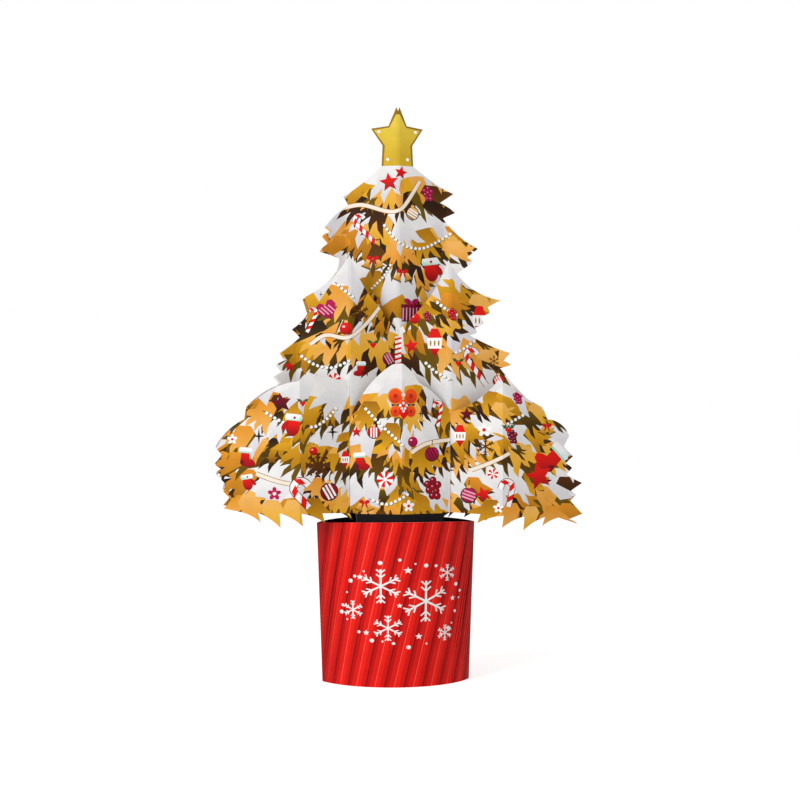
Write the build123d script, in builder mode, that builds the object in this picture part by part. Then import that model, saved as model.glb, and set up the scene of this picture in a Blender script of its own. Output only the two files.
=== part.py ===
from build123d import *
from math import sqrt
import os

# A pop-up card that opens into a Christmas tree in a pot.
# The pot is a card sleeve, pointed at its two sides. The tree is three layers of folded,
# die-cut card in front and the same three behind, glued to each other along their folds.
# Millimetres. Z is up, -Y is the front, and the origin is the middle of the pot's foot.

# Card
POT_CARD = 0.5
TREE_CARD = 0.4

# Pot
POT_HEIGHT = 83.0
POT_TOP_WIDTH = 83.4
POT_FOOT_WIDTH = 77.5
POT_TOP_DEPTH = 54.0
RIM_ARCH = 1.6  # how much higher the rim is at its middle than at the side folds
SEAM_FLAP = 9.0  # width of the glued flap that closes the sleeve inside one side

# Floor of the pot, which holds the sleeve open
FLOOR_HEIGHT = 12.0
FLOOR_GAP = 0.2
FLOOR_TAB_WIDTH = 18.0
FLOOR_TAB_HEIGHT = 7.0

# Folds of the tree, seen from above
FOLD_PITCH = 26.1  # from one fold to the next, across the tree
GLUE_STRIP = 1.6  # a glued fold is pressed flat over this width
SEAM_GAP = 0.2  # between two pieces of one layer
TRUNK_GAP = 0.05  # between the trunk's fold and the pot
LOW_WING_MARGIN = 0.6  # how far the low layer's fold runs on past its longest leaf
WING_END_GAP = 0.5

# Trunk, part of the low centre piece
TRUNK_WIDTH = 46.0
TRUNK_FOOT_WIDTH = 42.0
TRUNK_DEPTH = 25.0  # how far it reaches down into the pot

# Star
STAR_FOOT = 186.0  # above the pot's rim
STAR_HEIGHT = 30.5
STAR_NOTCH_WIDTH = 1.6
STAR_NOTCH_DEPTH = 2.2
STAR_EYELET_DIAMETER = 1.5

# Leaves
LEAF_SWELL = 0.06  # rise of a leaf's upper edge, as a share of its length
NOTCH_BACK = 0.30  # how far before its tip a hem leaf starts, as a share of the leaf spacing
HEM_LEAF_LENGTH = 6.5
HEM_LEAN = 2.5  # how far outward a hem leaf's tip hangs
HEM_LEAF_SIZES = (1.0, 0.75, 1.15)  # taken in turn, as shares of the leaf's length

# Half outline of the star, from its tip down: distance from the middle, height above its foot
STAR_HALF = [(4.8, 20.8), (13.6, 19.7), (7.8, 10.7), (8.3, 0.0)]
STAR_EYELETS = [(9.6, 18.0), (5.2, 3.4)]

# Boughs of each piece from the top down. A bough is how hollow its snowy slope is, as a share
# of the slope's length, and then its leaves: a tip and a notch in turn.
# A point is the distance from the middle of the tree and the height above the rim.
HIDDEN_BOUGHS = [
    (0.10, [(44.0, 112.0), (33.0, 96.0)]),
    (0.10, [(54.0, 83.0), (42.0, 66.0)]),
    (0.10, [(71.0, 50.0), (60.0, 13.0)]),
]
HIGH_RIGHT = [
    (0.03, [(30.3, 172.6), (23.2, 167.8), (31.1, 162.6), (24.9, 159.8)]),
    (0.06, [(42.7, 143.4), (37.2, 139.0), (40.2, 136.4), (32.1, 130.5)]),
    *HIDDEN_BOUGHS,
]
HIGH_LEFT = [
    (0.03, [(27.7, 170.5), (25.2, 166.0)]),
    (-0.05, [(37.2, 154.6), (34.0, 151.7), (38.8, 149.9), (35.6, 145.9), (39.9, 142.0), (29.7, 138.3)]),
    *HIDDEN_BOUGHS,
]
MIDDLE_FOOT = [(74.0, 58.0), (67.0, 46.0), (72.0, 40.0), (66.0, 20.0)]
MIDDLE_RIGHT = [
    (
        0.13,
        [
            (54.3, 116.4), (47.0, 112.5), (48.2, 109.6), (43.2, 107.0),
            (44.6, 103.6), (40.0, 101.6), (41.0, 99.0), (37.1, 97.6),
        ],
    ),
    (0.02, [(58.8, 88.6), (55.5, 84.6), (59.3, 82.3), (53.8, 80.6)]),
    (0.02, MIDDLE_FOOT),
]
MIDDLE_LEFT = [
    (0.08, [(48.5, 117.2), (46.0, 109.4)]),
    (0.05, [(54.2, 101.2), (50.1, 97.0)]),
    (0.02, [(60.5, 88.7), (58.0, 84.6), (62.6, 82.5), (59.6, 78.6), (63.8, 76.0), (61.0, 73.0)]),
    (0.02, MIDDLE_FOOT),
]
LOW_RIGHT = [
    (0.02, [(74.5, 60.2), (77.4, 53.9)]),
    (-0.15, [(89.7, 45.3), (86.6, 39.6)]),
    (0.02, [(92.0, 34.6), (87.6, 30.8), (91.4, 28.4), (88.3, 25.0)]),
    (0.02, [(97.2, 20.4), (90.6, 16.4), (93.6, 14.0), (90.4, 11.4)]),
    (0.02, [(97.4, 4.2), (89.7, 1.6), (94.8, -1.2), (84.0, 2.6)]),
]
LOW_LEFT = [
    (-0.10, [(78.1, 59.9), (79.0, 53.8)]),
    (-0.08, [(94.2, 39.4), (90.8, 35.3)]),
    (0.02, [(94.6, 30.6), (90.6, 28.2), (94.2, 25.6), (89.6, 21.4)]),
    (0.02, [(90.6, 17.2), (86.4, 13.2)]),
    (0.02, [(90.2, 8.6), (80.6, 6.6)]),
]

# Tops of the pieces of the low and middle layers, from the seam to the ridge
MIDDLE_RIGHT_TOP = [(0.0, 101.0), (7.0, 107.0), (25.2, 136.4)]
MIDDLE_LEFT_TOP = [(0.0, 101.0), (9.0, 111.0), (26.0, 138.6)]
LOW_RIGHT_TOP = [(0.0, 58.0), (10.0, 62.0), (24.0, 74.5), (27.0, 72.5)]
LOW_LEFT_TOP = [(0.0, 74.0), (11.0, 76.0), (22.0, 78.5), (26.2, 73.6)]
LOW_CENTRE_TOP = [(-26.0, 52.0), (-21.0, 64.5), (-5.0, 82.0), (0.5, 82.5), (9.0, 73.0), (26.0, 58.0)]

BACK_TIP_HEIGHT = 4.2  # of the high sheet that has no star, above the star's foot
HEM_HEIGHT = 6.0
HIGH_HEM_LEAVES = 3  # each side of the middle
MIDDLE_HEM_LEAVES = 3
LOW_HEM_LEAVES = 5

# Worked out from the sizes above
TREE_FOOT = POT_HEIGHT - TRUNK_DEPTH
STAR_TOP = STAR_FOOT + STAR_HEIGHT
TREE_TOP = POT_HEIGHT + STAR_TOP
LOW_WING_REACH = LOW_WING_MARGIN + max(x for _, leaves in LOW_LEFT + LOW_RIGHT for x, _ in leaves)


# The pot's front and back are parts of two cones, whose axes stand this far behind and in front
ARC_CENTRE = (POT_TOP_WIDTH**2 - POT_TOP_DEPTH**2) / (4 * POT_TOP_DEPTH)


def pot_radius(height):
    """Radius of the pot's front and back at a height."""
    top = ARC_CENTRE + POT_TOP_DEPTH / 2
    foot = sqrt((POT_FOOT_WIDTH / 2) ** 2 + ARC_CENTRE**2)
    return foot + (top - foot) * height / POT_HEIGHT


def pot_depth(height):
    """Depth of the pot at a height, over its front and back."""
    return 2 * (pot_radius(height) - ARC_CENTRE)


def lens_block(low, high, inset):
    """A solid that fills the pot between two heights, that far inside its outer face."""
    size = (pot_radius(low) - inset, pot_radius(high) - inset, high - low)
    with BuildPart() as block:
        for centre, mode in ((ARC_CENTRE, Mode.ADD), (-ARC_CENTRE, Mode.INTERSECT)):
            with Locations((0, centre, low)):
                Cone(*size, align=(Align.CENTER, Align.CENTER, Align.MIN), mode=mode)
    return block.part


# Half the tree's depth, which the trunk's foot fills inside the pot
TREE_HALF_DEPTH = pot_depth(TREE_FOOT) / 2 - POT_CARD - TRUNK_GAP
FOLD_DEPTH = TREE_HALF_DEPTH / 3 - TREE_CARD
RIM_TOP = POT_HEIGHT + RIM_ARCH

LOW, MIDDLE, HIGH = 0, 1, 2


def near(layer):
    """Y of a layer's front face at the folds that point to the front."""
    return -TREE_HALF_DEPTH + layer * (FOLD_DEPTH + TREE_CARD)


def far(layer):
    """Y of a layer's front face at the folds that point to the middle of the tree."""
    return near(layer) + FOLD_DEPTH


def glued_fold(count, y):
    """A fold that is pressed flat for the glue, so many pitches from the middle."""
    x = count * FOLD_PITCH
    return [(x - GLUE_STRIP / 2, y), (x + GLUE_STRIP / 2, y)]


def mirrored(points):
    """The same points on the other side of the tree, in the opposite order."""
    return [(-x, y) for x, y in reversed(points)]


def leaf_edge(start, end, side):
    """The upper edge of a leaf, which swells a little."""
    SagittaArc(start, end, side * LEAF_SWELL * (end - start).length)


def bough_side(start, boughs, side):
    """The outer edge of a piece, bough by bough. Returns the point where it ends."""
    here = start
    for hollow, leaves in boughs:
        places = [Vector(side * x, height) for x, height in leaves]
        SagittaArc(here, places[0], -side * hollow * (places[0] - here).length)
        for leaf in range(0, len(places), 2):
            if leaf > 0:
                leaf_edge(here, places[leaf], side)
            Line(places[leaf], places[leaf + 1])
            here = places[leaf + 1]
    return here


def hem(start, end, leaves, side):
    """The lower edge of a piece, with leaves that hang down and lean outward."""
    hang = Vector(side * HEM_LEAN, -HEM_LEAF_LENGTH)
    here = start
    for leaf in range(1, leaves):
        size = HEM_LEAF_SIZES[leaf % len(HEM_LEAF_SIZES)]
        notch = start + (end - start) * ((leaf - NOTCH_BACK) / leaves)
        tip = start + (end - start) * (leaf / leaves) + hang * size
        leaf_edge(here, tip, -side)
        Line(tip, notch)
        here = notch
    Line(here, end)


def card_section(folds):
    """The card seen from above: its front face, then its back face, mitred at the folds."""
    front = [Vector(x, y) for x, y in folds]
    across = [(b - a).normalized().rotate(Axis.Z, 90) for a, b in zip(front, front[1:])]
    sides = zip(front, across[:1] + across, across + across[-1:])
    back = [place + (a + b) * (TREE_CARD / (1 + a.dot(b))) for place, a, b in sides]
    return front + back[::-1]


def folded_sheet(folds, outline):
    """A sheet of card that follows the folds seen from above, cut to the outline."""
    with BuildPart() as sheet:
        with BuildSketch(Plane.XY.offset(TREE_FOOT)):
            with BuildLine():
                Polyline(*card_section(folds), close=True)
            make_face()
        extrude(amount=TREE_TOP - TREE_FOOT)
        with BuildSketch(Plane.XZ):
            add(outline.moved(Location((0, POT_HEIGHT))))
        extrude(amount=POT_TOP_DEPTH, both=True, mode=Mode.INTERSECT)
    return sheet.part


def high_outline(with_star):
    """Front view of a high sheet: the whole tree, with the star on its top or without."""
    with BuildSketch() as view:
        with BuildLine():
            feet = []
            for side, boughs in ((1, HIGH_RIGHT), (-1, HIGH_LEFT)):
                star_foot = Vector(side * STAR_HALF[-1][0], STAR_FOOT)
                feet.append(bough_side(star_foot, boughs, side))
                if with_star:
                    Polyline(
                        (0, STAR_TOP - STAR_NOTCH_DEPTH),
                        (side * STAR_NOTCH_WIDTH / 2, STAR_TOP),
                        *[(side * x, STAR_FOOT + height) for x, height in STAR_HALF],
                    )
                else:
                    Line((0, STAR_FOOT + BACK_TIP_HEIGHT), star_foot)
            middle = Vector(0, HEM_HEIGHT)
            hem(feet[0], middle, HIGH_HEM_LEAVES, 1)
            hem(feet[1], middle, HIGH_HEM_LEAVES, -1)
        make_face()
        if with_star:
            for side in (1, -1):
                with Locations(*[(side * x, STAR_FOOT + height) for x, height in STAR_EYELETS]):
                    Circle(STAR_EYELET_DIAMETER / 2, mode=Mode.SUBTRACT)
    return view.sketch


def side_outline(seam, top, boughs, hem_leaves, side):
    """Front view of a piece of the low or middle layer, from its seam to its wing."""
    with BuildSketch() as view:
        with BuildLine():
            crest = [Vector(side * (seam + x), height) for x, height in top]
            for start, end in zip(crest, crest[1:]):
                leaf_edge(start, end, -side)
            wing_foot = bough_side(crest[-1], boughs, side)
            seam_foot = Vector(side * seam, HEM_HEIGHT)
            hem(wing_foot, seam_foot, hem_leaves, side)
            Line(seam_foot, crest[0])
        make_face()
    return view.sketch


def low_centre_outline():
    """Front view of the low centre piece, with the trunk that stands in the pot."""
    edge = FOLD_PITCH - SEAM_GAP / 2
    crest = [Vector(x, height) for x, height in LOW_CENTRE_TOP]
    crest[0] = Vector(-edge, crest[0].Y)
    crest[-1] = Vector(edge, crest[-1].Y)
    with BuildSketch() as view:
        with BuildLine():
            for start, end in zip(crest, crest[1:]):
                leaf_edge(start, end, 1)
            for side, seam_top in ((1, crest[-1]), (-1, crest[0])):
                seam_foot = Vector(side * edge, HEM_HEIGHT)
                trunk_top = Vector(side * TRUNK_WIDTH / 2, HEM_HEIGHT)
                trunk_foot = Vector(side * TRUNK_FOOT_WIDTH / 2, -TRUNK_DEPTH)
                Polyline(seam_top, seam_foot, trunk_top, trunk_foot, Vector(0, -TRUNK_DEPTH))
        make_face()
    return view.sketch


# Pot sleeve: one sheet, folded at both sides and closed by a flap glued inside the back
with BuildPart() as seam_flap:
    add(lens_block(0, RIM_TOP, POT_CARD))
    add(lens_block(0, RIM_TOP, 2 * POT_CARD), mode=Mode.SUBTRACT)
    with BuildSketch(Plane.XY):
        with Locations((POT_FOOT_WIDTH / 2 - SEAM_FLAP, 0)):
            Rectangle(POT_TOP_WIDTH, POT_TOP_DEPTH, align=(Align.MIN, Align.MIN))
    extrude(amount=RIM_TOP, mode=Mode.INTERSECT)

with BuildPart() as pot_sleeve:
    add(lens_block(0, RIM_TOP, 0))
    add(lens_block(0, RIM_TOP, POT_CARD), mode=Mode.SUBTRACT)
    add(seam_flap.part)
    with BuildSketch(Plane.XZ):
        with BuildLine():
            Polyline(
                (-POT_TOP_WIDTH / 2, POT_HEIGHT),
                (-POT_TOP_WIDTH / 2, 0),
                (POT_TOP_WIDTH / 2, 0),
                (POT_TOP_WIDTH / 2, POT_HEIGHT),
            )
            ThreePointArc(
                (-POT_TOP_WIDTH / 2, POT_HEIGHT),
                (0, RIM_TOP),
                (POT_TOP_WIDTH / 2, POT_HEIGHT),
            )
        make_face()
    extrude(amount=POT_TOP_DEPTH, both=True, mode=Mode.INTERSECT)

# Pot floor: a panel across the pot with a tab bent down at its front and its back.
# Its two ends are cut off clear of the seam flap.
floor_inset = POT_CARD + FLOOR_GAP
tab_foot = FLOOR_HEIGHT - FLOOR_TAB_HEIGHT
floor_width = POT_FOOT_WIDTH - 2 * (SEAM_FLAP + FLOOR_GAP)
with BuildPart() as floor_panel:
    add(lens_block(FLOOR_HEIGHT, FLOOR_HEIGHT + POT_CARD, floor_inset))
    with BuildSketch(Plane.XY.offset(FLOOR_HEIGHT)):
        Rectangle(floor_width, POT_TOP_DEPTH)
    extrude(amount=POT_CARD, mode=Mode.INTERSECT)

with BuildPart() as pot_floor:
    add(lens_block(tab_foot, FLOOR_HEIGHT, floor_inset))
    add(lens_block(tab_foot, FLOOR_HEIGHT, floor_inset + POT_CARD), mode=Mode.SUBTRACT)
    with BuildSketch(Plane.XY.offset(tab_foot)):
        Rectangle(FLOOR_TAB_WIDTH, POT_TOP_DEPTH)
    extrude(amount=FLOOR_TAB_HEIGHT, mode=Mode.INTERSECT)
    add(floor_panel.part)

# Folds of each layer from left to right, seen from above
wing_end = 3 * FOLD_PITCH - WING_END_GAP
high_folds = [(-wing_end, far(HIGH))]
for count in range(-2, 3):
    high_folds += glued_fold(count, near(HIGH) if count % 2 == 0 else far(HIGH))
high_folds.append((wing_end, far(HIGH)))

middle_folds = [(SEAM_GAP / 2, far(MIDDLE)), (GLUE_STRIP / 2, far(MIDDLE))]
middle_folds += glued_fold(1, near(MIDDLE)) + glued_fold(2, far(MIDDLE))
middle_folds.append((wing_end, near(MIDDLE)))

low_wing_back = FOLD_DEPTH * (LOW_WING_REACH - 2 * FOLD_PITCH) / FOLD_PITCH
low_side_folds = [
    (FOLD_PITCH + SEAM_GAP / 2, far(LOW)),
    (FOLD_PITCH + GLUE_STRIP / 2, far(LOW)),
    (2 * FOLD_PITCH, near(LOW)),
    (LOW_WING_REACH, near(LOW) + low_wing_back),
]
low_centre_half = [
    (FOLD_PITCH - GLUE_STRIP / 2, far(LOW)),
    (FOLD_PITCH - SEAM_GAP / 2, far(LOW)),
]
low_centre_folds = mirrored(low_centre_half) + [(0, near(LOW))] + low_centre_half

# The front half of the tree, layer by layer
front_seam = SEAM_GAP / 2
side_seam = FOLD_PITCH + SEAM_GAP / 2
front_pieces = {
    "high": folded_sheet(high_folds, high_outline(True)),
    "middle_right": folded_sheet(
        middle_folds,
        side_outline(front_seam, MIDDLE_RIGHT_TOP, MIDDLE_RIGHT, MIDDLE_HEM_LEAVES, 1),
    ),
    "middle_left": folded_sheet(
        mirrored(middle_folds),
        side_outline(front_seam, MIDDLE_LEFT_TOP, MIDDLE_LEFT, MIDDLE_HEM_LEAVES, -1),
    ),
    "low_right": folded_sheet(
        low_side_folds,
        side_outline(side_seam, LOW_RIGHT_TOP, LOW_RIGHT, LOW_HEM_LEAVES, 1),
    ),
    "low_left": folded_sheet(
        mirrored(low_side_folds),
        side_outline(side_seam, LOW_LEFT_TOP, LOW_LEFT, LOW_HEM_LEAVES, -1),
    ),
    "low_centre": folded_sheet(low_centre_folds, low_centre_outline()),
}

# The back half mirrors the front, with no star on its high sheet
back_pieces = {**front_pieces, "high": folded_sheet(high_folds, high_outline(False))}

os.makedirs("parts", exist_ok=True)

pot_sleeve.part.label = "pot_sleeve"
export_step(pot_sleeve.part, "parts/pot_sleeve.step")
pot_floor.part.label = "pot_floor"
export_step(pot_floor.part, "parts/pot_floor.step")

for name, piece in front_pieces.items():
    with BuildPart() as front_sheet:
        add(piece)
    front_sheet.part.label = f"front_{name}"
    export_step(front_sheet.part, f"parts/front_{name}.step")

for name, piece in back_pieces.items():
    with BuildPart() as back_sheet:
        mirror(piece, about=Plane.XZ)
    back_sheet.part.label = f"back_{name}"
    export_step(back_sheet.part, f"parts/back_{name}.step")
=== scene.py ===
import math
import random

import bpy
import numpy as np
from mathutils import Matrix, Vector
from mathutils.geometry import delaunay_2d_cdt


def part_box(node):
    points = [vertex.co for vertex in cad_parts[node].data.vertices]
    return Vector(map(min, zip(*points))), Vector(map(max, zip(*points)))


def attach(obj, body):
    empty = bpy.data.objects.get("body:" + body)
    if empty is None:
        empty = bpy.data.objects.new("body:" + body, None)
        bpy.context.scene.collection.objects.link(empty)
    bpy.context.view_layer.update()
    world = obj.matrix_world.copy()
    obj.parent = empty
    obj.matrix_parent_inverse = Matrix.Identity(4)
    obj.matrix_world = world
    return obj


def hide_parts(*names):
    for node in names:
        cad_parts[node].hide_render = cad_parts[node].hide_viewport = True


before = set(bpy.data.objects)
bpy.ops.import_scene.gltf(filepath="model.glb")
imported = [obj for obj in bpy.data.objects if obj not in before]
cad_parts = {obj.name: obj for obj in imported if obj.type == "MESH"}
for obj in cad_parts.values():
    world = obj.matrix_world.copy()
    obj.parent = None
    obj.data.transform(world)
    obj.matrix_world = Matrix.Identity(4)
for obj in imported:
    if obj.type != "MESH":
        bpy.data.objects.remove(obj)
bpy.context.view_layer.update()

# A pop-up Christmas tree card in its printed pot. The printed sheets are laid out flat, in
# millimetres across the tree and above the pot's rim, and are then bent along their folds.

MM = 0.001
RIM = 83.0  # height of the pot's rim at its side folds
STAR_FOOT = 186.0  # above the rim, as every height on the sheets
HEM = 6.0  # height of the low layer's hem

# Inks
SNOW = (237, 235, 233)
SNOW_SHADE = (213, 211, 217)
GOLD = (228, 168, 30)
GOLD_PALE = (240, 182, 98)
GOLD_DEEP = (166, 110, 12)
AMBER = (226, 146, 40)
OLIVE = (104, 78, 2)
BROWN = (84, 44, 6)
DARK = (32, 16, 4)
RED = (226, 24, 18)
RED_DEEP = (150, 12, 22)
WINE = (112, 12, 32)
MAGENTA = (182, 22, 82)
PINK = (238, 156, 180)
ORANGE = (244, 84, 26)
PLUM = (58, 20, 58)
WHITE = (250, 249, 246)
CREAM = (246, 232, 214)
GREEN = (54, 96, 52)
MINT = (168, 226, 202)
STAR_GOLD = (210, 172, 40)
STAR_PALE = (234, 204, 76)
STAR_EDGE = (150, 112, 26)
TRUNK = (16, 12, 12)
CARD_BACK = (226, 214, 196)
POT_RED = (242, 32, 24)
POT_DEEP = (146, 4, 8)
# The next ink is a painted highlight along each of the pot's ribs
POT_PAINTED_HIGHLIGHT = (250, 78, 62)
LOOP_RED = (206, 52, 18)  # the rosette's loops
LOOP_CORE = (190, 40, 20)
CUFF_SHADE = (226, 236, 236)
BEAD_EDGE = (74, 92, 50)
POT_DARK = (40, 22, 18)  # inside the pot
FLOOR_INK = (46, 40, 38)

# The inks of a spray of leaves, at its tips and where it grows
GOLD_SPRAYS = (
    (GOLD, GOLD_PALE),
    (GOLD, GOLD_DEEP),
    (GOLD_DEEP, GOLD),
    (AMBER, GOLD_PALE),
    (GOLD_PALE, AMBER),
    (GOLD_DEEP, AMBER),
)
DARK_SPRAYS = (
    (OLIVE, BROWN),
    (OLIVE, OLIVE),
    (DARK, OLIVE),
    (BROWN, DARK),
    (DARK, BROWN),
    (OLIVE, DARK),
)


def linear(colour):
    """A colour given as it looks on a screen, as the values that the renderer adds up."""
    out = []
    for channel in colour:
        c = channel / 255.0
        out.append(c / 12.92 if c <= 0.04045 else ((c + 0.055) / 1.055) ** 2.4)
    return tuple(out) + (1.0,)


def mix(a, b, share):
    share = min(1.0, max(0.0, share))
    return tuple(p + (q - p) * share for p, q in zip(a, b))


# Flat drawing


class Drawing:
    """Closed shapes on the flat sheet, painted one over the other."""

    def __init__(self):
        self.shapes = []

    def add(self, points, ink, far_ink=None, span=None, base=False):
        """Paints a shape. With far_ink, the ink runs to it between the two heights of span."""
        area = sum(a[0] * b[1] - b[0] * a[1] for a, b in zip(points, points[1:] + points[:1]))
        if abs(area) < 1e-3:
            return
        if area < 0:
            points = points[::-1]
        self.shapes.append((points, ink, far_ink, span, base))


def arc_points(cx, cy, rx, ry, start=0.0, end=360.0, count=14, turn=0.0):
    """Points along an ellipse's arc, in degrees, the whole turned about its centre."""
    out = []
    full = abs(end - start) >= 360
    for k in range(count if full else count + 1):
        a = math.radians(start + (end - start) * k / count)
        out.append(turned((cx + rx * math.cos(a), cy + ry * math.sin(a)), (cx, cy), turn))
    return out


def turned(point, about, degrees):
    c, s = math.cos(math.radians(degrees)), math.sin(math.radians(degrees))
    dx, dy = point[0] - about[0], point[1] - about[1]
    return (about[0] + dx * c - dy * s, about[1] + dx * s + dy * c)


def spline(a, b, c, d, t):
    """One coordinate of a Catmull-Rom curve, a share t of the way from b to c."""
    return 0.5 * (2 * b + (c - a) * t + (2 * a - 5 * b + 4 * c - d) * t**2 + (3 * b - a - 3 * c + d) * t**3)


def smooth_line(points, steps=5):
    """A curve through the points."""
    out = []
    ends = [points[0]] + list(points) + [points[-1]]
    for around in zip(ends, ends[1:], ends[2:], ends[3:]):
        out += [tuple(spline(*four, k / steps) for four in zip(*around)) for k in range(steps)]
    return out + [tuple(points[-1])]


def band(points, width, taper=1.0):
    """A strip of that width along a line, narrower at its far end by taper."""
    left, right = [], []
    for k, (x, y) in enumerate(points):
        ax, ay = points[max(k - 1, 0)]
        bx, by = points[min(k + 1, len(points) - 1)]
        length = math.hypot(bx - ax, by - ay) or 1.0
        w = width / 2 * (1 + (taper - 1) * k / max(1, len(points) - 1))
        nx, ny = -(by - ay) / length * w, (bx - ax) / length * w
        left.append((x + nx, y + ny))
        right.append((x - nx, y - ny))
    return left + right[::-1]


def walk(points, pitch):
    """Places along a line, a pitch apart."""
    out, carry = [], 0.0
    for a, b in zip(points, points[1:]):
        length = math.hypot(b[0] - a[0], b[1] - a[1])
        at = -carry
        while at + pitch <= length:
            at += pitch
            out.append((a[0] + (b[0] - a[0]) * at / length, a[1] + (b[1] - a[1]) * at / length))
        carry = length - at
    return out


# Ornaments


def disc(d, x, y, radius, ink, far_ink=None, span=None, count=14):
    d.add(arc_points(x, y, radius, radius, count=count), ink, far_ink, span)


def oval(d, x, y, rx, ry, ink, count=14, turn=0):
    d.add(arc_points(x, y, rx, ry, count=count, turn=turn), ink)


def placed(outline, x, y, size, turn=0, side=1):
    """An outline given in shares of a size, at its place; side -1 mirrors it."""
    return [turned((x + side * px * size, y + py * size), (x, y), turn) for px, py in outline]


def patch(d, place, outline, ink, far=None, span=None, turn=0, side=1):
    """Paints an outline at a place (x, y, size); span too is in shares of the size."""
    x, y, size = place
    heights = span and (y + span[0] * size, y + span[1] * size)
    d.add(placed(outline, x, y, size, turn, side), ink, far, heights)


def rayed(d, x, y, reaches, ink, far=None, span=None, turn=0):
    """A shape whose corners stand round a place at these distances, the first straight up."""
    corners = []
    for k, reach in enumerate(reaches):
        a = math.radians(90 + 360 * k / len(reaches) + turn)
        corners.append((x + reach * math.cos(a), y + reach * math.sin(a)))
    d.add(corners, ink, far, span)


def star(d, x, y, size, ink=RED, far=RED_DEEP, turn=0):
    rayed(d, x, y, (size, size * 0.45) * 5, far, ink, (y - size, y + size * 0.2), turn)


def sparkle(d, x, y, size, ink=DARK):
    """A four-pointed star, wider up and down."""
    waist = size * 0.16
    rayed(d, x, y, (size, waist, size * 0.7, waist) * 2, ink)


def cap_and_hook(d, x, y, size):
    cap = [(-0.3, 0), (0.3, 0), (0.22, 0.4), (-0.22, 0.4)]
    patch(d, (x, y, size), cap, GOLD_PALE)
    d.add(band([(x, y + size * 0.3), (x + size * 0.1, y + size * 1.1)], size * 0.12), OLIVE)


def bauble(d, x, y, size, ink=MAGENTA, stripe=PINK, turn=30):
    """A ball with three stripes."""
    disc(d, x, y, size * 1.12, DARK)
    disc(d, x, y, size, mix(ink, DARK, 0.35), ink, (y - size, y + size * 0.4))
    for k in range(3):
        off = size * (1.3 * (k + 0.5) / 3 - 0.65)
        half = math.sqrt(max(0, size**2 - off**2)) * 0.92
        line = [turned((x + off, y + end), (x, y), turn) for end in (-half, half)]
        d.add(band(line, size * 0.24), stripe)
    cap_and_hook(d, x, y + size, size)


def plain_ball(d, x, y, size, ink=RED):
    disc(d, x, y, size, mix(ink, DARK, 0.4), ink, (y - size, y + size * 0.3))
    oval(d, x - size * 0.35, y + size * 0.35, size * 0.24, size * 0.16, CREAM, 8)
    cap_and_hook(d, x, y + size, size)


def berries(d, x, y, size, ink=MAGENTA):
    """A bunch of eight berries."""
    upper = [(0, 1.1), (-0.75, 0.6), (0.7, 0.5), (-0.55, -0.2)]
    lower = [(0.45, -0.3), (0, 0.2), (-0.1, -0.95), (0.6, -1)]
    for dx, dy in upper + lower:
        cx, cy = x + dx * size, y + dy * size
        disc(d, cx, cy, size * 0.52, WINE, count=9)
        disc(d, cx, cy, size * 0.4, ink, count=8)
        disc(d, cx - size * 0.12, cy + size * 0.14, size * 0.12, PINK, count=6)


def bow(d, x, y, size, ink=RED, shade=RED_DEEP):
    tail = [(0, 0), (0.5, -0.2), (0.75, -1.15), (0.35, -0.9)]
    loops = [(0.62, 0.22, 0.6, 0.42, 14, shade), (0.62, 0.24, 0.5, 0.33, 14, ink)]
    loops.append((0.5, 0.2, 0.2, 0.13, 8, shade))
    for side in (-1, 1):
        patch(d, (x, y, size), tail, shade, ink, (-1, 0), 0, side)
        for dx, dy, rx, ry, count, loop_ink in loops:
            cx, cy = x + side * size * dx, y + size * dy
            oval(d, cx, cy, size * rx, size * ry, loop_ink, count, side * 25)
    oval(d, x, y + size * 0.05, size * 0.24, size * 0.26, mix(ink, WHITE, 0.15), 8)


def rosette(d, x, y, size):
    """A bow of two round loops with two round ends, tied with dark ribbon and white beads."""
    tie = [(0, 0.1), (1.1, -0.3), (0.9, -0.75), (0, -0.35)]
    knot = [(-0.34, 0.1), (0.34, 0.1), (0.5, -1.2), (0, -1.75), (-0.4, -1.2)]
    for side in (-1, 1):
        patch(d, (x, y, size), tie, PLUM, side=side)
        for dx, dy, reach in ((0.72, -0.98, 0.52), (0.72, 0.42, 0.7)):
            cx, cy, wide = x + side * dx * size, y + dy * size, reach * size
            oval(d, cx, cy, wide, wide * 1.1, AMBER)
            span = (cy - size * 0.6, cy + size * 0.3)
            d.add(arc_points(cx, cy, wide * 0.86, wide * 0.95), LOOP_RED, ORANGE, span)
            oval(d, cx, cy, wide * 0.3, wide * 0.36, LOOP_CORE, 8)
    patch(d, (x, y, size), knot, RED, ORANGE, (-1, 0))
    for dx, dy in ((-0.3, -0.42), (0.3, -0.42), (-0.15, -0.7), (0.15, -0.7), (0, -0.95), (0, -0.2)):
        disc(d, x + dx * size, y + dy * size, size * 0.13, WHITE, count=7)
    disc(d, x, y + size * 0.55, size * 0.2, CREAM, count=8)


def heart(d, x, y, size, turn):
    """A striped heart."""
    right = [(0.75, -0.35), (1, 0.25), (0.8, 0.75), (0.4, 0.85)]
    left = [(-px, py) for px, py in reversed(right)]
    outline = [(0, -1.1)] + right + [(0, 0.45)] + left
    patch(d, (x, y, size), outline, mix(MAGENTA, DARK, 0.25), MAGENTA, (-1, 0.4), turn)
    for k, half in ((-0.55, 0.5), (-0.2, 0.7), (0.15, 0.75), (0.5, 0.6)):
        ends = [(k - half * 0.35, half * 0.6), (k + half * 0.25, -half * 0.75)]
        d.add(band(placed(ends, x, y, size, turn), size * 0.14), PINK)


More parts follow.
